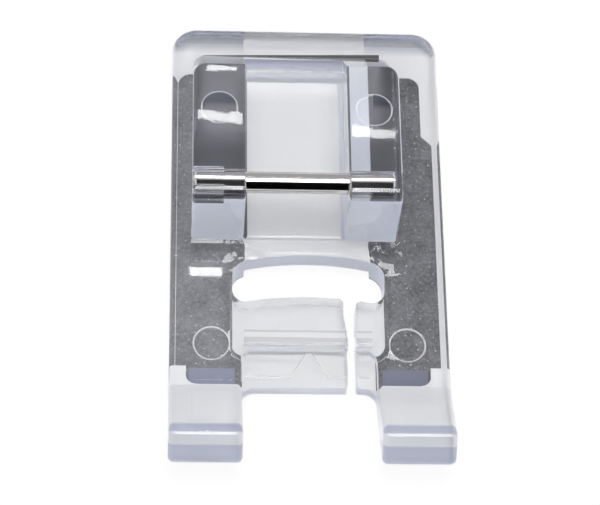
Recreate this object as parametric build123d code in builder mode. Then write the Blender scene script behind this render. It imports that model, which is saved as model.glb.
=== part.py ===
from build123d import *
import os
from math import cos, radians, sin, tan

# A clip-on presser foot: one clear moulding and the steel cross pin that the machine's ankle clips onto.
# X runs across the foot, +Y to its rear, the toes point to -Y, and the flat of the sole lies on Z = 0.

# Sole: two rails, each ending in an upturned toe with a blunt nose
toe_width = 5.04
toe_gap = 9.42
toe_bend_from_pin = 12.9
toe_reach = 6.6
toe_bend_radius = 5.0
sole_bend_radius = 10.6
toe_angle = 30.0
toe_edge_radius = 0.4
nose_slant = 15.0
nose_edge_radius = 0.6
rail_thickness = 2.5
side_edge_radius = 0.4
rear_ledge = 2.36
rear_corner_radius = 1.8
rear_lift = 0.5
rear_lift_run = 0.95

# Tunnel behind the needle opening for the finished stitches, and the two pads that touch the cloth
tunnel_width = 9.0
tunnel_depth = 1.0
pad_relief = 0.12
pad_margin = 0.05
pad_rear_inset = 3.1
pad_corner_radius = 0.9
pad_step = 0.75
pad_step_from_pin = 7.4
pad_notch_width = 0.75
pad_notch_length = 1.6

# Pin and the block that carries it, set to the left of the middle of the foot
pin_diameter = 1.5
pin_height = 7.0
pin_chamfer = 0.15
pin_end_inset = 0.15
pin_end_wall = 0.5
pin_fit = 0.01
pin_lead_in_depth = 2.2
pin_lead_in_step = 0.2
block_offset = -1.0
ankle_gap = 7.17
lug_width = 3.72
lug_above_pin = 1.25
lug_front_from_pin = 2.16
lug_rear_from_pin = 8.9
lug_front_radius = 0.93
lug_front_draft = 4.0
lug_edge_radius = 0.25
block_root = 0.5
block_rear_angle = 36.4
block_corner_radius = 0.9
floor_rise = 0.2
floor_fillet = 0.4
rear_wall_height = 2.1
rear_wall_thickness = 0.8

# Needle opening, bowed to the rear
needle_opening_width = 10.74
needle_opening_length = 3.15
needle_opening_from_pin = 3.33
needle_opening_rear_bow = 0.72
needle_opening_front_bow = 0.6
needle_opening_rear_radius = 1.25
needle_opening_front_radius = 0.9

# Bridge across the toes, with its step, its thread slit, its guide and the groove underneath
bridge_drop = 0.3
bridge_side_slope = 30.0
bridge_length = 4.0
bridge_step = 0.75
bridge_front_length = 2.65
bridge_corner_radius = 1.0
slit_width = 0.62
slit_offset = 3.0
slit_lead = 0.26
slit_lead_start = 3.2
slit_lead_end = 1.4
slit_corner_radius = 0.35
groove_length = 1.08
groove_depth = 1.1
groove_behind_step = 0.82
guide_depth = 0.3
guide_rim = 0.85
guide_side_rim = 0.4
guide_tip_width = 0.5
guide_base_width = 2.6

# Round marks of the mould's ejector pins
mark_diameter = 2.5
mark_depth = 0.08
rail_mark_spacing = 13.64
rail_mark_behind_bend = 2.65
lug_mark_from_pin = 5.3

# Heights that follow from those sizes
lug_top = pin_height + lug_above_pin
floor_z = rail_thickness + floor_rise
rear_wall_top = rail_thickness + rear_wall_height
bridge_top = rail_thickness - bridge_drop
bridge_front_top = bridge_top - bridge_step

# Places along the foot, with Y = 0 at the middle of its length
rear_slope = tan(radians(block_rear_angle))
front_slope = tan(radians(lug_front_draft))
pin_from_rear = lug_rear_from_pin + (lug_top - rail_thickness) * rear_slope + rear_ledge
foot_length = pin_from_rear + toe_bend_from_pin + toe_reach
rear_y = foot_length / 2
pin_y = rear_y - pin_from_rear
lug_front_y = pin_y - lug_front_from_pin
lug_rear_y = pin_y + lug_rear_from_pin
lug_brow_y = lug_front_y + (lug_top - rail_thickness) * front_slope
block_rear_y = rear_y - rear_ledge
rear_wall_y = block_rear_y - rear_wall_height * rear_slope - rear_wall_thickness
opening_rear_y = pin_y - needle_opening_from_pin
opening_front_y = opening_rear_y - needle_opening_length
opening_middle_y = (opening_rear_y + opening_front_y) / 2
opening_end_rear_y = opening_rear_y - needle_opening_rear_bow
opening_end_front_y = opening_front_y - needle_opening_front_bow
bridge_step_y = opening_front_y - bridge_length
bridge_front_y = bridge_step_y - bridge_front_length
recess_front_y = bridge_step_y - bridge_corner_radius
guide_rim_y = bridge_front_y + guide_rim
toe_bend_y = pin_y - toe_bend_from_pin
pad_rear_y = rear_y - pad_rear_inset
pad_step_y = pin_y + pad_step_from_pin

# Places across the foot
foot_width = toe_gap + 2 * toe_width
block_width = ankle_gap + 2 * lug_width
block_left_x = block_offset - block_width / 2
block_right_x = block_offset + block_width / 2
pin_radius = pin_diameter / 2
pin_left_x = block_left_x + pin_end_inset
pin_right_x = block_right_x - pin_end_wall
opening_end_x = needle_opening_width / 2
slit_left_x = slit_offset - slit_width / 2
slit_right_x = slit_offset + slit_width / 2
slit_mouth_x = slit_left_x - slit_lead
guide_width = toe_gap - 2 * guide_side_rim
pad_outer_x = foot_width / 2 - side_edge_radius - pad_margin
pad_bridge_x = opening_end_x + pad_margin

# The toe's straight run, between the end of its bend and the flat of its nose, which leans back
top_bend_radius = toe_bend_radius - rail_thickness
bend_reach = toe_bend_radius * sin(radians(toe_angle))
nose_round = tan(radians(45 + nose_slant / 2)) * cos(radians(toe_angle)) + sin(radians(toe_angle)) - 1
toe_run = (toe_reach - bend_reach + nose_edge_radius * nose_round) / cos(radians(toe_angle))
nose_lean = rail_thickness * tan(radians(nose_slant))
sole_bend_gain = (sole_bend_radius - toe_bend_radius) * tan(radians(toe_angle / 2))

os.makedirs("parts", exist_ok=True)

# Outline of the two pads, which leave the bridge free: the right one is narrower at its rear
with BuildSketch() as sole_pads:
    with Locations((0, toe_bend_y)):
        Rectangle(2 * pad_outer_x, pad_rear_y - toe_bend_y, align=(Align.CENTER, Align.MIN))
    with BuildLine():
        Polyline(
            (pad_outer_x, pad_step_y - pad_step),
            (pad_outer_x - pad_step, pad_step_y),
            (pad_outer_x - pad_step, pad_rear_y),
            (pad_outer_x, pad_rear_y),
            close=True,
        )
    make_face(mode=Mode.SUBTRACT)
    with Locations((0, toe_bend_y)):
        with GridLocations(2 * pad_outer_x, 0, 2, 1):
            Rectangle(2 * pad_notch_width, 2 * pad_notch_length, mode=Mode.SUBTRACT)
    pad_ends = sole_pads.vertices().group_by(Axis.Y)[0] + sole_pads.vertices().group_by(Axis.Y)[-1]
    fillet(pad_ends, pad_corner_radius)
    with Locations((0, opening_middle_y)):
        Rectangle(tunnel_width, foot_length, align=(Align.CENTER, Align.MIN), mode=Mode.SUBTRACT)
        Rectangle(toe_gap, foot_length, align=(Align.CENTER, Align.MAX), mode=Mode.SUBTRACT)
    with Locations((0, (opening_middle_y + bridge_step_y) / 2)):
        relief_length = opening_middle_y - bridge_step_y
        RectangleRounded(2 * pad_bridge_x, relief_length, bridge_corner_radius, mode=Mode.SUBTRACT)

# The block that carries the pin: its side profile, cut into a U that is open to the front
with BuildPart() as pin_block:
    with BuildSketch(Plane.YZ.offset(block_left_x)) as block_side:
        with BuildLine():
            Polyline(
                (lug_front_y - block_root * front_slope, rail_thickness - block_root),
                (lug_brow_y, lug_top),
                (lug_rear_y, lug_top),
                (block_rear_y, rail_thickness),
                (block_rear_y, rail_thickness - block_root),
                close=True,
            )
        make_face()
        fillet(block_side.vertices().sort_by_distance((lug_brow_y, lug_top))[0], lug_front_radius)
    extrude(amount=block_width)
    rear_faces = pin_block.faces().sort_by(Axis.Y)[-2:]
    fillet([edge for edge in rear_faces.edges() if abs(edge.tangent_at(0.5).X) < 0.5], block_corner_radius)
    with BuildSketch(Plane.XY.offset(floor_z)):
        with Locations((block_offset, rear_wall_y)):
            Rectangle(ankle_gap, foot_length, align=(Align.CENTER, Align.MAX))
    extrude(amount=lug_top, mode=Mode.SUBTRACT)
    with BuildSketch(Plane.XY.offset(rear_wall_top)):
        with Locations((block_offset, rear_wall_y)):
            Rectangle(ankle_gap, foot_length)
    extrude(amount=lug_top, mode=Mode.SUBTRACT)
    fillet(pin_block.edges().filter_by(Axis.Y).filter_by_position(Axis.Z, floor_z, floor_z), floor_fillet)
    fillet(pin_block.edges().filter_by(Axis.Y).group_by(Axis.Z)[-1], lug_edge_radius)

# The clear moulding: sole and toes have one side profile, and the block stands on them
with BuildPart() as foot_body:
    with BuildSketch(Plane.YZ) as sole_side:
        with BuildLine():
            heel = TangentArc((rear_y - rear_lift_run, 0), (rear_y, rear_lift), tangent=(1, 0))
            Polyline(heel @ 1, (rear_y, rail_thickness), (toe_bend_y, rail_thickness))
            top_bend = JernArc((toe_bend_y, rail_thickness), (-1, 0), top_bend_radius, -toe_angle)
            toe_way = top_bend % 1
            toe_under = toe_way.rotate(Axis.Z, 90) * rail_thickness
            top_run = Line(top_bend @ 1, top_bend @ 1 + toe_way * (toe_run - nose_lean))
            nose = Line(top_run @ 1, top_run @ 1 + toe_under + toe_way * nose_lean)
            low_run = Line(nose @ 1, nose @ 1 - toe_way * (toe_run - sole_bend_gain))
            low_bend = JernArc(low_run @ 1, low_run % 1, sole_bend_radius, toe_angle)
            Line(low_bend @ 1, heel @ 0)
        make_face()
        fillet(sole_side.vertices().group_by(Axis.X)[:2], nose_edge_radius)
    extrude(amount=foot_width / 2, both=True)
    fillet(foot_body.edges().filter_by(Axis.Z).group_by(Axis.Y)[-1], rear_corner_radius)
    fillet(foot_body.faces().filter_by(Axis.X).edges().filter_by(Axis.Z, reverse=True), side_edge_radius)
    with BuildSketch() as toe_space:
        with Locations((0, bridge_front_y)):
            Rectangle(toe_gap, foot_length, align=(Align.CENTER, Align.MAX))
        fillet(toe_space.vertices().group_by(Axis.Y)[-1], bridge_corner_radius)
    extrude(amount=lug_top, mode=Mode.SUBTRACT)
    toe_sides = foot_body.faces().filter_by(Axis.X).filter_by_position(Axis.X, -toe_gap / 2, toe_gap / 2)
    fillet(toe_sides.edges().filter_by(Axis.Z, reverse=True), toe_edge_radius)

    # The bridge is lower than the rails, and steps down again to its front
    with BuildSketch(Plane.XY.offset(bridge_top)):
        with Locations((0, (opening_middle_y + recess_front_y) / 2)):
            RectangleRounded(needle_opening_width, opening_middle_y - recess_front_y, bridge_corner_radius)
    extrude(amount=bridge_drop, taper=-bridge_side_slope, mode=Mode.SUBTRACT)
    with BuildSketch(Plane.XY.offset(bridge_front_top)) as bridge_front:
        with Locations((0, bridge_step_y)):
            Rectangle(toe_gap, foot_length, align=(Align.CENTER, Align.MAX))
        fillet(bridge_front.vertices().group_by(Axis.Y)[-1], bridge_corner_radius)
    extrude(amount=rail_thickness, mode=Mode.SUBTRACT)

    # The guide is a land between two shallow pockets, its tip at the step
    with BuildSketch(Plane.XY.offset(bridge_front_top)):
        with Locations((0, guide_rim_y)):
            Rectangle(guide_width, bridge_step_y - guide_rim_y, align=(Align.CENTER, Align.MIN))
        with BuildLine():
            Polyline(
                (-guide_base_width / 2, guide_rim_y),
                (-guide_tip_width / 2, bridge_step_y),
                (guide_tip_width / 2, bridge_step_y),
                (guide_base_width / 2, guide_rim_y),
                close=True,
            )
        make_face(mode=Mode.SUBTRACT)
        with Locations((slit_offset, bridge_step_y)):
            Rectangle(slit_width + guide_side_rim, foot_length, mode=Mode.SUBTRACT)
    extrude(amount=-guide_depth, mode=Mode.SUBTRACT)

    # Underneath, a tunnel runs to the rear, a groove crosses the bridge, and only the pads touch the cloth
    with BuildSketch():
        with Locations((0, opening_middle_y)):
            Rectangle(tunnel_width, foot_length, align=(Align.CENTER, Align.MIN))
    extrude(amount=tunnel_depth, mode=Mode.SUBTRACT)
    with BuildSketch():
        with Locations((0, bridge_step_y + groove_behind_step)):
            Rectangle(tunnel_width, groove_length, align=(Align.CENTER, Align.MIN))
    extrude(amount=groove_depth, mode=Mode.SUBTRACT)
    with BuildSketch():
        Rectangle(foot_width, foot_length)
        add(sole_pads.sketch, mode=Mode.SUBTRACT)
    extrude(amount=pad_relief, mode=Mode.SUBTRACT)

    add(pin_block.part)

    # Needle opening, with the thread slit that leads into it from the front
    with BuildSketch() as needle_opening:
        with BuildLine():
            right_end = Line((opening_end_x, opening_end_rear_y), (opening_end_x, opening_end_front_y))
            left_end = Line((-opening_end_x, opening_end_front_y), (-opening_end_x, opening_end_rear_y))
            ThreePointArc(left_end @ 1, (0, opening_rear_y), right_end @ 0)
            ThreePointArc(right_end @ 1, (0, opening_front_y), left_end @ 0)
        make_face()
        fillet(needle_opening.vertices().group_by(Axis.Y)[-1], needle_opening_rear_radius)
        fillet(needle_opening.vertices().group_by(Axis.Y)[0], needle_opening_front_radius)
        with BuildLine():
            Polyline(
                (slit_right_x, opening_middle_y),
                (slit_mouth_x, opening_middle_y),
                (slit_mouth_x, opening_front_y - slit_lead_end),
                (slit_left_x, opening_front_y - slit_lead_start),
                (slit_left_x, bridge_front_y),
                (slit_right_x, bridge_front_y),
                close=True,
            )
        make_face()
        with Locations((0, bridge_front_y)):
            Rectangle(toe_gap - 2 * bridge_corner_radius, rail_thickness, align=(Align.CENTER, Align.MAX))
        slit_points = needle_opening.vertices().filter_by_position(Axis.X, slit_mouth_x, slit_right_x)
        slit_rows = slit_points.group_by(Axis.Y)
        fillet(slit_rows[0] + slit_rows[-2] + slit_rows[-1], slit_corner_radius)
    extrude(amount=rail_thickness, mode=Mode.SUBTRACT)

    # Bore for the pin, from the left, blind in the right lug
    with BuildSketch(Plane.YZ.offset(pin_right_x)):
        with Locations((pin_y, pin_height)):
            Circle(pin_radius + pin_fit)
    extrude(amount=block_left_x - pin_right_x, mode=Mode.SUBTRACT)
    with BuildSketch(Plane.YZ.offset(block_left_x)):
        with Locations((pin_y, pin_height)):
            Circle(pin_radius + pin_lead_in_step)
    extrude(amount=pin_lead_in_depth, mode=Mode.SUBTRACT)

    # Marks of the ejector pins on the rails and the lugs
    with BuildSketch(Plane.XY.offset(rail_thickness)):
        with Locations((0, toe_bend_y + rail_mark_behind_bend)):
            with GridLocations(rail_mark_spacing, 0, 2, 1):
                Circle(mark_diameter / 2)
    extrude(amount=-mark_depth, mode=Mode.SUBTRACT)
    with BuildSketch(Plane.XY.offset(lug_top)):
        with Locations((block_offset, pin_y + lug_mark_from_pin)):
            with GridLocations(ankle_gap + lug_width, 0, 2, 1):
                Circle(mark_diameter / 2)
    extrude(amount=-mark_depth, mode=Mode.SUBTRACT)

# The pin is a plain rod with broken edges, pressed in from the left
with BuildPart() as hinge_pin:
    with BuildSketch(Plane.YZ.offset(pin_left_x)):
        with Locations((pin_y, pin_height)):
            Circle(pin_radius)
    extrude(amount=pin_right_x - pin_left_x)
    chamfer(hinge_pin.edges().filter_by(GeomType.CIRCLE), pin_chamfer)

foot_body.part.label = "foot_body"
hinge_pin.part.label = "hinge_pin"
export_step(foot_body.part, "parts/foot_body.step")
export_step(hinge_pin.part, "parts/hinge_pin.step")
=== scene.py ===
from math import cos, pi, radians, sin

import bpy
from mathutils import Matrix, Vector

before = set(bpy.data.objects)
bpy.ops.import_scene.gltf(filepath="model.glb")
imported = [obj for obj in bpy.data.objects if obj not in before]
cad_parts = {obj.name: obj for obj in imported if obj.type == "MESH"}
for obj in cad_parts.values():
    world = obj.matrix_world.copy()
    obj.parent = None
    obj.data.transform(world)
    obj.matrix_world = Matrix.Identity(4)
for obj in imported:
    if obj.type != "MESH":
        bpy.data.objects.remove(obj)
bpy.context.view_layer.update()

MM = 0.001

# The photograph's frame and the camera that was fitted to it
IMAGE_WIDTH_PX = 600
FOCAL_LENGTH_PX = 2395.5
SENSOR_WIDTH_MM = 36.0
CAMERA_ELEVATION = radians(62.409)
CAMERA_AZIMUTH = radians(-7.149)
CAMERA_ROLL = radians(7.174)
CAMERA_DISTANCE = 169.874 * MM
CAMERA_TARGET = Vector((-0.555, -0.95, 2.2)) * MM
CAMERA_CLIP = (10 * MM, 10000 * MM)

# The set, in mm. A card has half its width, its folds as (y, z), its tone, and whether it shows through
# the plastic. The black ones in front give the pin its dark line, and the grey one behind its middle tone.
FLOOR_HALF = 1500
FLOOR_DROP = 0.05
CARDS = {
    "front_card": (80, [(-30, 0.5), (-200, 0.5), (-200, 170)], "#060606", True),
    "front_hood": (80, [(-200, 170), (-60, 190)], "#060606", False),
    "rear_card": (800, [(1000, 0), (60, 1100)], "#C4C4C6", True),
}

# How white the paper is to the camera and in what mirrors it, and the level at which the surround lights
PAPER_WHITE_SEEN = 0.92
PAPER_WHITE_MIRRORED = 0.1
SURROUND_FILL = 0.65

# Lamps: place, width and height in mm, and radiance. The lugs and the left rail mirror the strips as bars.
LAMP_AIM = Vector((0, 2, 3)) * MM
LAMPS = {
    "overhead": ((0, -6, 500), 260, 260, 9.9),
    "lug_strip": ((36.75, 350.5, 594), 70.5, 3.2, 15),
    "lug_end_strip": ((9.9, 373.8, 594.6), 10.7, 1.5, 18),
    "rail_strip": ((3.85, 269, 537.3), 10.3, 3.2, 20),
}

# A Mix node's sockets for colours: its two inputs and its result
MIX_A, MIX_B, MIX_RESULT = 6, 7, 2

# Places on the moulding that more than one finish needs
BLOCK_X = -1.0 * MM
BLOCK_FRONT = 0.75 * MM
OPENING_X = 0.57 * MM
PAD_TOP = 0.11 * MM
MARK_RADIUS = 1.25 * MM
RING_HALF_WIDTH = 0.05 * MM
LUG_MARK = Vector((5.445, 7.3, 0)) * MM

# The painted shade in the crease behind the block, a dark wedge, grows to the right by this share of its
# length
CREASE_SLANT = 0.0234

# Pairs of spots, left and right of a line along the foot: the line's x, and the right-hand spot from there
PAIRS = {
    "rail_mark": (0.0, Vector((6.82, -8.25, 0)) * MM),
    "lug_mark": (BLOCK_X, LUG_MARK),
    "opening_corner": (OPENING_X, Vector((5.17, -0.9, 0)) * MM),
    "bridge_corner": (OPENING_X, Vector((5.4, -8.2, 0)) * MM),
}

# Limits of the finishes and painted shade: what is measured, the test, and its values. COMPARE has a middle
# and a reach.
LIMITS = {
    "looks_up": ("tilt", "GREATER_THAN", 0.9),
    "looks_down": ("tilt", "LESS_THAN", -0.3),
    "pad": ("z", "LESS_THAN", PAD_TOP),
    "above_pad": ("z", "GREATER_THAN", PAD_TOP),
    "below_bores": ("z", "LESS_THAN", 5.2 * MM),
    "above_sole": ("z", "GREATER_THAN", 0.9 * MM),
    "rail_height": ("z", "COMPARE", 2.5 * MM, 0.05 * MM),
    "panel_height": ("z", "COMPARE", 2.7 * MM, 0.08 * MM),
    "lug_height": ("z", "GREATER_THAN", 7.0 * MM),
    "panel_length": ("y", "GREATER_THAN", -1.0 * MM),
    "block_width": ("x", "COMPARE", BLOCK_X, 7.3 * MM),
    "block_length": ("y", "GREATER_THAN", BLOCK_FRONT),
    "before_block": ("y", "LESS_THAN", BLOCK_FRONT),
    "left_lug_width": ("x", "COMPARE", -6.45 * MM, 1.85 * MM),
    "right_lug_width": ("x", "GREATER_THAN", 2.7 * MM),
    "right_side": ("x", "GREATER_THAN", 0.0),
    "rail_ring": ("rail_mark", "COMPARE", MARK_RADIUS, RING_HALF_WIDTH),
    "lug_ring": ("lug_mark", "COMPARE", MARK_RADIUS, RING_HALF_WIDTH),
    "lug_mark_disc": ("lug_mark", "LESS_THAN", MARK_RADIUS),
    "clear_half": ("x", "COMPARE", 2.2 * MM, 2.2 * MM),
    "crease_depth": ("slanted_y", "LESS_THAN", 15.34 * MM),
    "crease_width": ("x", "COMPARE", BLOCK_X, 6.5 * MM),
    "ledge_length": ("y", "GREATER_THAN", 14.0 * MM),
    "tip_length": ("y", "LESS_THAN", -9.45 * MM),
    "tip_width": ("out", "COMPARE", 6.75 * MM, 1.6 * MM),
    "wall_length": ("y", "COMPARE", 14.5 * MM, 0.65 * MM),
    "front_groove_length": ("y", "COMPARE", -7.47 * MM, 0.19 * MM),
    "rear_groove_length": ("y", "COMPARE", -6.8 * MM, 0.08 * MM),
}

# Finishes and painted shade that come in slowly: what is measured, and where they begin and are full
FADES = {
    "rear_half": ("y", LUG_MARK.y, LUG_MARK.y + 0.5 * MM),
    "heel": ("y", 16.2 * MM, 16.9 * MM),
    "nose_front": ("y", -14.95 * MM, -15.2 * MM),
    "right_lug_length": ("y", 14.5 * MM, 11.0 * MM),
    "fillet_rise": ("y", -0.46 * MM, -0.16 * MM),
}

# Faces of one finish or painted shade: where all of these limits and fades hold
FACES = {
    "rail_top": ("rail_height", "looks_up"),
    "frost": ("looks_down", "below_bores", "above_pad"),
    "satin_panel": ("panel_height", "looks_up", "panel_length"),
    # Painted shade on the upper part of the lug marks
    "shaded_mark": ("rear_half", "lug_mark_disc", "lug_height", "shaded_half"),
    # Painted shade in the crease behind the block
    "crease": ("crease_depth", "rail_top", "crease_width", "ledge_length"),
    # Painted shade on the pads under the block
    "beneath_block": ("block_width", "block_length"),
    # Bluish painted shade on the pads' curved-up front ends
    "pad_tip": ("tip_length", "tip_width"),
    # Painted shade in the frost on the rear wall, the noses, under the right lug and in the two grooves
    "rear_wall": ("wall_length", "above_sole", "frost"),
    "nose": ("nose_front", "frost"),
    "right_lug": ("right_lug_width", "right_lug_length", "beneath_block", "above_sole", "frost"),
    "front_groove": ("front_groove_length", "above_sole", "frost"),
    "rear_groove": ("rear_groove_length", "above_sole", "frost"),
    "lug_foot": ("fillet_rise", "left_lug_width", "rail_top", "before_block"),
}

# The frost is white, with painted shade where the light in the plastic is dimmer or bluer: grey towards the
# heel, grey or bluish on other faces
FROST_WHITE = "#FEFEFE"
HEEL_SHADE = "#D4D5DA"
HEEL_ROOF_SHADE = "#DCDCDF"
FROST_SHADES = {
    # Painted shade, grey or bluish, for each of these faces
    "rear_wall": "#C6CADC",
    "nose": "#C4C9DA",
    "right_lug": "#DEE1E8",
    "front_groove": "#DEDEE1",
    "rear_groove": "#DEDEE1",
}

# The pads' painted shade, a dark grey for the shaded table seen through the clear pads: the size of its
# patterns, the grain's share, its fall to the right, and its range
PAD_CLOUD = 2.5 * MM
PAD_GRAIN = 0.25 * MM
PAD_GRAIN_SHARE = 0.6
PAD_FALL = -0.014 / MM
PAD_RANGE = (0.47, 1.13)
PAD_DARK, PAD_LIGHT = "#2A2A2D", "#98989C"
# Bluish painted shade on the pads' curved-up front ends, lighter on the left, and a darker painted shade
# under the block
PAD_TIP_SHADE_LEFT, PAD_TIP_SHADE_RIGHT = "#9297AD", "#777B8F"
PAD_SHADE_BENEATH_BLOCK = "#48484C"
DUST_SPACING = 0.6 * MM
DUST_LARGEST = 0.09
DUST_COLOUR = "#E4E4E4"

# Other tones of the moulding, and painted shade
# Painted shade on the upper part of the lug marks
MARK_SHADE_COLOUR = "#7E8396"
# Painted shade in the crease behind the block
CREASE_SHADE_COLOUR = "#4C4A49"
MIRROR_COLOUR = "#F4F6FB"
INNER_COLOUR = "#0071D8"
INNER_DENSITY = 8.0

# How acrylic bends light, how rough its finishes are beyond the polish, and how much light they hold back
ACRYLIC_IOR = 1.49
POLISH_ROUGHNESS = 0.015
UNDERSIDE_ROUGHNESS = 0.33
SATIN_ROUGHNESS = 0.2
FROST_BODY = 0.95
RING_BODY = 0.5
# The crease's painted shade holds back most light
CREASE_BODY = 0.9
TOE_MIRROR = 0.2
TOE_MIRROR_Y = (-13.5 * MM, -12.5 * MM)

# Relief of the moulded skin. The bump counts heights in steps as high as the skin's own slow flow.
RELIEF_STEP = 0.0007 * MM
FLOW_WIDTH = 1.6 * MM
RAIL_FLOW = 0.25
RIPPLE_WIDTH = 0.8 * MM
RIPPLE_HEIGHT = 0.266 * MM
RIPPLE_REACH = {"opening_corner": 2.0 * MM, "bridge_corner": 1.2 * MM}
FILLET_HEIGHT = 0.0749 * MM

# The pin's steel is grown by a little more than the room in its bores
PRESS_FIT = 0.014 * MM


def hex_colour(code):
    """An sRGB hex colour as linear RGBA."""
    channels = [int(code[i : i + 2], 16) / 255 for i in (1, 3, 5)]
    linear = [c / 12.92 if c <= 0.04045 else ((c + 0.055) / 1.055) ** 2.4 for c in channels]
    return (*linear, 1.0)


def add_node(tree, kind, inputs=None, output=0, **settings):
    """Adds a node and gives back one of its outputs. An input takes a value, or another output to link."""
    node = tree.nodes.new(kind)
    for name, value in settings.items():
        setattr(node, name, value)
    for socket, value in (inputs or {}).items():
        if isinstance(value, bpy.types.NodeSocket):
            tree.links.new(value, node.inputs[socket])
        else:
            node.inputs[socket].default_value = value
    return node.outputs[output] if len(node.outputs) else node


def new_material(name):
    """An empty node material with its output."""
    material = bpy.data.materials.new(name)
    material.use_nodes = True
    material.node_tree.nodes.clear()
    return material, material.node_tree, material.node_tree.nodes.new("ShaderNodeOutputMaterial")


def dress(piece, material):
    """Gives a piece its one material."""
    piece.data.materials.clear()
    piece.data.materials.append(material)


def find_faces(tree, place):
    """Measures of a point on the moulding, and masks that are 1 on the faces of a finish and 0 elsewhere."""
    x = add_node(tree, "ShaderNodeSeparateXYZ", {0: place})
    y, z = x.node.outputs["Y"], x.node.outputs["Z"]
    at = {"x": x, "y": y, "z": z}
    at["out"] = add_node(tree, "ShaderNodeMath", {0: x}, operation="ABSOLUTE")
    slant = {0: x, 1: -CREASE_SLANT, 2: y}
    at["slanted_y"] = add_node(tree, "ShaderNodeMath", slant, operation="MULTIPLY_ADD")
    # The tilt is that of the outer side, also where a ray meets a face from inside
    normal = add_node(tree, "ShaderNodeNewGeometry", output="True Normal")
    inside = normal.node.outputs["Backfacing"]
    side = add_node(tree, "ShaderNodeMath", {0: inside, 1: -2.0, 2: 1.0}, operation="MULTIPLY_ADD")
    rise = add_node(tree, "ShaderNodeSeparateXYZ", {0: normal}, output="Z")
    at["tilt"] = add_node(tree, "ShaderNodeMath", {0: rise, 1: side}, operation="MULTIPLY")

    for name, (line, spot) in PAIRS.items():
        across = add_node(tree, "ShaderNodeMath", {0: x, 1: line}, operation="SUBTRACT")
        across = add_node(tree, "ShaderNodeMath", {0: across}, operation="ABSOLUTE")
        point = add_node(tree, "ShaderNodeCombineXYZ", {0: across, 1: y})
        at[name] = add_node(tree, "ShaderNodeVectorMath", {0: point, 1: spot}, "Value", operation="DISTANCE")
    for name, (measure, test, *values) in LIMITS.items():
        inputs = dict(enumerate((at[measure], *values)))
        at[name] = add_node(tree, "ShaderNodeMath", inputs, operation=test)
    for name, (measure, start, full) in FADES.items():
        inputs = {"Value": at[measure], "From Min": start, "From Max": full}
        at[name] = add_node(tree, "ShaderNodeMapRange", inputs)
    # Of the right lug's mark, only the outer half gets painted shade
    at["shaded_half"] = add_node(tree, "ShaderNodeMath", {0: 1.0, 1: at["clear_half"]}, operation="SUBTRACT")
    for name, (first, *others) in FACES.items():
        at[name] = at[first]
        for other in others:
            at[name] = add_node(tree, "ShaderNodeMath", {0: at[name], 1: at[other]}, operation="MULTIPLY")

    # Witness rings round the ejector marks, and the underside with its pads
    rings = add_node(tree, "ShaderNodeMath", {0: at["rail_ring"], 1: at["lug_ring"]}, operation="MAXIMUM")
    at["rings"] = add_node(tree, "ShaderNodeMath", {0: rings, 1: at["looks_up"]}, operation="MULTIPLY")
    at["underside"] = add_node(tree, "ShaderNodeMath", {0: at["frost"], 1: at["pad"]}, operation="ADD")
    return at


def pad_shade_and_dust(tree, place, at):
    """Painted shade: a dark grey for the shaded table seen through the clear pads, that clouds over some
    millimetres down to a fine grain, with dust, a darker painted shade under the block and bluish painted
    shade on the front ends.
    """
    cloud = add_node(tree, "ShaderNodeTexNoise", {
        "Vector": place,
        "Scale": 1 / PAD_CLOUD,
        "Detail": 8.0,
        "Roughness": 0.75,
    })
    # The real grain is finer, and is drawn as coarse as it needs to show
    grain = add_node(tree, "ShaderNodeTexNoise", {"Vector": place, "Scale": 1 / PAD_GRAIN, "Detail": 2.0})
    tone = add_node(tree, "ShaderNodeMath", {0: at["x"], 1: PAD_FALL, 2: cloud}, operation="MULTIPLY_ADD")
    tone = add_node(tree, "ShaderNodeMath", {0: grain, 1: PAD_GRAIN_SHARE, 2: tone}, operation="MULTIPLY_ADD")
    darkest, lightest = PAD_RANGE
    tone = add_node(tree, "ShaderNodeMapRange", {"Value": tone, "From Min": darkest, "From Max": lightest})

    # Each speck of dust has its own size, and the largest one's radius is a share of their spacing
    away = add_node(tree, "ShaderNodeTexVoronoi", {"Vector": place, "Scale": 1 / DUST_SPACING},
                    voronoi_dimensions="2D")
    chance = away.node.outputs["Color"]
    size = add_node(tree, "ShaderNodeMath", {0: chance, 1: DUST_LARGEST}, operation="MULTIPLY")
    dust = add_node(tree, "ShaderNodeMath", {0: away, 1: size}, operation="LESS_THAN")

    # The curved-up front ends get a bluish painted shade, lighter on the left, and the pad under the block a
    # darker painted shade
    tip = add_node(tree, "ShaderNodeMix", {
        0: at["right_side"],
        MIX_A: hex_colour(PAD_TIP_SHADE_LEFT),
        MIX_B: hex_colour(PAD_TIP_SHADE_RIGHT),
    }, output=MIX_RESULT, data_type="RGBA")
    colour = hex_colour(PAD_DARK)
    for mask, layer in (
        (tone, hex_colour(PAD_LIGHT)),
        (dust, hex_colour(DUST_COLOUR)),
        (at["pad_tip"], tip),
        (at["beneath_block"], hex_colour(PAD_SHADE_BENEATH_BLOCK)),
    ):
        colour = add_node(tree, "ShaderNodeMix", {0: mask, MIX_A: colour, MIX_B: layer},
                          output=MIX_RESULT, data_type="RGBA")
    return colour


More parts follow.
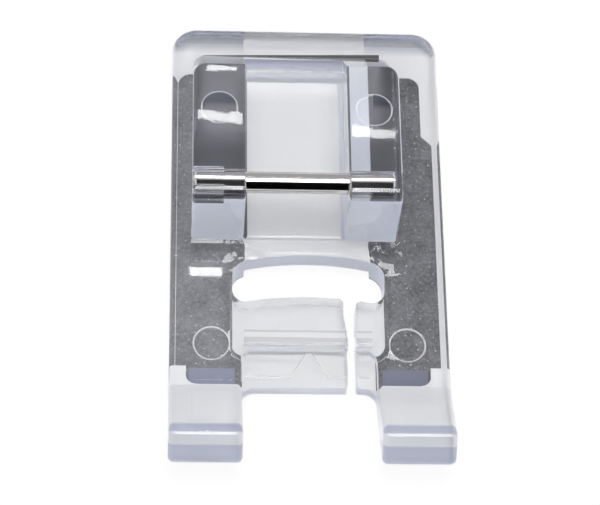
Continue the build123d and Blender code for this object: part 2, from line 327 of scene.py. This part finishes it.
def skin_relief(tree, place, at):
    """A moulded skin's slow flow, with ripples by the needle opening and a fillet at the left lug's foot."""
    flow = add_node(tree, "ShaderNodeTexNoise", {
        "Vector": place,
        "Scale": 1 / FLOW_WIDTH,
        "Detail": 3.0,
        "Roughness": 0.6,
    })
    calmer = {0: at["rail_top"], 1: RAIL_FLOW - 1.0, 2: 1.0}
    calm = add_node(tree, "ShaderNodeMath", calmer, operation="MULTIPLY_ADD")
    height = add_node(tree, "ShaderNodeMath", {0: flow, 1: calm}, operation="MULTIPLY")

    # The rails run into the corners of the needle opening and the bridge in small uneven fillets
    ripples = add_node(tree, "ShaderNodeTexNoise", {
        "Vector": place,
        "Scale": 1 / RIPPLE_WIDTH,
        "Detail": 0.5,
    })
    for corner, reach in RIPPLE_REACH.items():
        near = add_node(tree, "ShaderNodeMapRange", {
            "Value": at[corner],
            "From Min": reach / 2,
            "From Max": reach,
            "To Min": RIPPLE_HEIGHT / RELIEF_STEP,
            "To Max": 0.0,
        })
        near = add_node(tree, "ShaderNodeMath", {0: near, 1: at["rail_top"]}, operation="MULTIPLY")
        height = add_node(tree, "ShaderNodeMath", {0: ripples, 1: near, 2: height}, operation="MULTIPLY_ADD")

    fillet = {0: at["lug_foot"], 1: FILLET_HEIGHT / RELIEF_STEP, 2: height}
    height = add_node(tree, "ShaderNodeMath", fillet, operation="MULTIPLY_ADD")
    return add_node(tree, "ShaderNodeBump", {"Strength": 1.0, "Distance": RELIEF_STEP, "Height": height})


def clear_acrylic():
    """Moulded acrylic: polished on top, frosted by the mould below, with smooth pads under the rails that
    carry a dark painted shade.
    """
    material, tree, output = new_material("moulded_clear_acrylic")
    place = add_node(tree, "ShaderNodeTexCoord", output="Object")
    at = find_faces(tree, place)

    # Met at a flat angle from inside, through a wall or a lug, the underside mirrors, and less so at the toes
    mirror = add_node(tree, "ShaderNodeFresnel", {"IOR": ACRYLIC_IOR})
    mirror = add_node(tree, "ShaderNodeMath", {0: mirror, 1: at["underside"]}, operation="MULTIPLY")
    toe_front, toe_rear = TOE_MIRROR_Y
    dull = add_node(tree, "ShaderNodeMapRange", {
        "Value": at["y"],
        "From Min": toe_front,
        "From Max": toe_rear,
        "To Min": TOE_MIRROR,
    })
    mirror = add_node(tree, "ShaderNodeMath", {0: mirror, 1: dull}, operation="MULTIPLY")

    # The frost greys towards the heel in painted shade, less so on the roof of the tunnel, and the other
    # finishes and painted shades lie over it
    heel = add_node(tree, "ShaderNodeMix", {
        0: at["above_sole"],
        MIX_A: hex_colour(HEEL_SHADE),
        MIX_B: hex_colour(HEEL_ROOF_SHADE),
    }, output=MIX_RESULT, data_type="RGBA")
    layers = [(at["heel"], heel)]
    layers += [(at[face], hex_colour(shade_colour)) for face, shade_colour in FROST_SHADES.items()]
    # Then the pads' painted shade and dust, the painted shade on the lug marks and in the crease, and the
    # mirror
    layers += [
        (at["pad"], pad_shade_and_dust(tree, place, at)),
        (at["shaded_mark"], hex_colour(MARK_SHADE_COLOUR)),
        (at["crease"], hex_colour(CREASE_SHADE_COLOUR)),
        (mirror, hex_colour(MIRROR_COLOUR)),
    ]
    colour = hex_colour(FROST_WHITE)
    for mask, layer in layers:
        colour = add_node(tree, "ShaderNodeMix", {0: mask, MIX_A: colour, MIX_B: layer},
                          output=MIX_RESULT, data_type="RGBA")

    # What holds light back, and how rough each face is
    body = at["pad"]
    for face, share in (("frost", FROST_BODY), ("rings", RING_BODY), ("crease", CREASE_BODY)):
        body = add_node(tree, "ShaderNodeMath", {0: at[face], 1: share, 2: body}, operation="MULTIPLY_ADD")
    passing = add_node(tree, "ShaderNodeMath", {0: 1.0, 1: body}, operation="SUBTRACT", use_clamp=True)
    rough = POLISH_ROUGHNESS
    for face, share in (("underside", UNDERSIDE_ROUGHNESS), ("satin_panel", SATIN_ROUGHNESS)):
        rough = add_node(tree, "ShaderNodeMath", {0: at[face], 1: share, 2: rough}, operation="MULTIPLY_ADD")

    shader = add_node(tree, "ShaderNodeBsdfPrincipled", {
        "Base Color": colour,
        "Metallic": mirror,
        "Roughness": rough,
        "IOR": ACRYLIC_IOR,
        "Normal": skin_relief(tree, place, at),
        "Transmission Weight": passing,
    })
    inside = add_node(tree, "ShaderNodeVolumeAbsorption", {
        "Color": hex_colour(INNER_COLOUR),
        "Density": INNER_DENSITY,
    })
    tree.links.new(shader, output.inputs["Surface"])
    tree.links.new(inside, output.inputs["Volume"])
    return material


def polished_steel():
    """Ground and polished steel: a bright mirror, a little soft."""
    material, tree, output = new_material("polished_steel")
    shader = add_node(tree, "ShaderNodeBsdfPrincipled", {
        "Base Color": hex_colour("#CBC8C6"),
        "Metallic": 1.0,
        "Roughness": 0.1,
    })
    tree.links.new(shader, output.inputs["Surface"])
    return material


def white_paper():
    """White paper: it keeps a faint shadow, and looks white to the camera."""
    material, tree, output = new_material("white_paper")
    paper = add_node(tree, "ShaderNodeBsdfDiffuse", {"Color": hex_colour("#F4F4F4")})
    white = add_node(tree, "ShaderNodeEmission")
    seen = add_node(tree, "ShaderNodeLightPath", output="Is Camera Ray")
    mirrored = {0: seen.node.outputs["Is Glossy Ray"], 1: seen.node.outputs["Is Transmission Ray"]}
    share = add_node(tree, "ShaderNodeMath", mirrored, operation="MAXIMUM")
    share = add_node(tree, "ShaderNodeMath", {0: share, 1: PAPER_WHITE_MIRRORED}, operation="MULTIPLY")
    both = {0: seen, 1: PAPER_WHITE_SEEN, 2: share}
    share = add_node(tree, "ShaderNodeMath", both, operation="MULTIPLY_ADD")
    mixed = add_node(tree, "ShaderNodeMixShader", {0: share, 1: paper, 2: white})
    tree.links.new(mixed, output.inputs["Surface"])
    return material


def studio_card(name, code):
    """A studio card of one even tone, which the camera sees only in the pin and the plastic."""
    material, tree, output = new_material(name)
    shader = add_node(tree, "ShaderNodeEmission", {"Color": hex_colour(code)})
    tree.links.new(shader, output.inputs["Surface"])
    return material


def stage_sheet(name, half, profile, material):
    """A sheet of the set, not of the part: twice half wide, and folded along its profile of (y, z) points."""
    corners = [Vector((side * half, *point)) * MM for point in profile for side in (-1, 1)]
    faces = [(i, i + 1, i + 3, i + 2) for i in range(0, len(corners) - 2, 2)]
    mesh = bpy.data.meshes.new(name)
    mesh.from_pydata(corners, [], faces)
    sheet = bpy.data.objects.new(name, mesh)
    bpy.context.scene.collection.objects.link(sheet)
    dress(sheet, material)
    return sheet


def set_stage():
    """A paper floor and the studio cards, which throw no shadow."""
    stage_sheet("floor", FLOOR_HALF, [(y, -FLOOR_DROP) for y in (-FLOOR_HALF, FLOOR_HALF)], white_paper())
    for name, (half, profile, code, seen_through) in CARDS.items():
        sheet = stage_sheet(name, half, profile, studio_card(name, code))
        sheet.visible_camera = False
        sheet.visible_diffuse = False
        sheet.visible_transmission = seen_through
        sheet.visible_shadow = False


def light_world():
    """A white surround to the camera, at a plainer level as light on the part."""
    world = bpy.data.worlds.new("studio")
    bpy.context.scene.world = world
    world.use_nodes = True
    tree = world.node_tree
    tree.nodes.clear()
    diffuse = add_node(tree, "ShaderNodeLightPath", output="Is Diffuse Ray")
    dimmer = {0: diffuse, 1: SURROUND_FILL - 1.0, 2: 1.0}
    level = add_node(tree, "ShaderNodeMath", dimmer, operation="MULTIPLY_ADD")
    background = add_node(tree, "ShaderNodeBackground", {"Strength": level})
    output = add_node(tree, "ShaderNodeOutputWorld")
    tree.links.new(background, output.inputs["Surface"])


def add_lamp(name, place, width, height, radiance):
    """A rectangular lamp of a given radiance, turned to the part."""
    light = bpy.data.lights.new(name, "AREA")
    light.shape = "RECTANGLE"
    light.size, light.size_y = width, height
    light.energy = radiance * pi * width * height
    holder = bpy.data.objects.new(name, light)
    holder.location = place
    holder.rotation_mode = "QUATERNION"
    holder.rotation_quaternion = (LAMP_AIM - place).to_track_quat("-Z", "Y")
    bpy.context.scene.collection.objects.link(holder)


def set_camera():
    """The fitted camera. Its azimuth counts from the toes, and its roll turns it about its own axis."""
    back = Vector((
        sin(CAMERA_AZIMUTH) * cos(CAMERA_ELEVATION),
        -cos(CAMERA_AZIMUTH) * cos(CAMERA_ELEVATION),
        sin(CAMERA_ELEVATION),
    ))
    level_x = Vector((0, 0, 1)).cross(back).normalized()
    level_y = back.cross(level_x)
    right = cos(CAMERA_ROLL) * level_x + sin(CAMERA_ROLL) * level_y
    up = back.cross(right)
    data = bpy.data.cameras.new("camera")
    data.sensor_width = SENSOR_WIDTH_MM
    data.lens = FOCAL_LENGTH_PX * SENSOR_WIDTH_MM / IMAGE_WIDTH_PX
    data.clip_start, data.clip_end = CAMERA_CLIP
    camera = bpy.data.objects.new("camera", data)
    turn = Matrix((right, up, back)).transposed().to_4x4()
    camera.matrix_world = Matrix.Translation(CAMERA_TARGET + back * CAMERA_DISTANCE) @ turn
    bpy.context.scene.collection.objects.link(camera)
    bpy.context.scene.camera = camera


dress(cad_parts["foot_body"], clear_acrylic())
dress(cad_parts["hinge_pin"], polished_steel())

# The pin is a press fit, so its steel touches the plastic round it and no film of air shows there
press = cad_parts["hinge_pin"].modifiers.new("press_fit", "DISPLACE")
press.strength = PRESS_FIT
press.mid_level = 0.0

set_stage()
light_world()
for name, (place, width, height, radiance) in LAMPS.items():
    add_lamp(name, Vector(place) * MM, width * MM, height * MM, radiance)
set_camera()

scene = bpy.context.scene
scene.view_settings.view_transform = "Standard"
# Light crosses the clear body many times before it leaves
scene.cycles.max_bounces = 24
scene.cycles.diffuse_bounces = 12
scene.cycles.glossy_bounces = 16
scene.cycles.transmission_bounces = 16
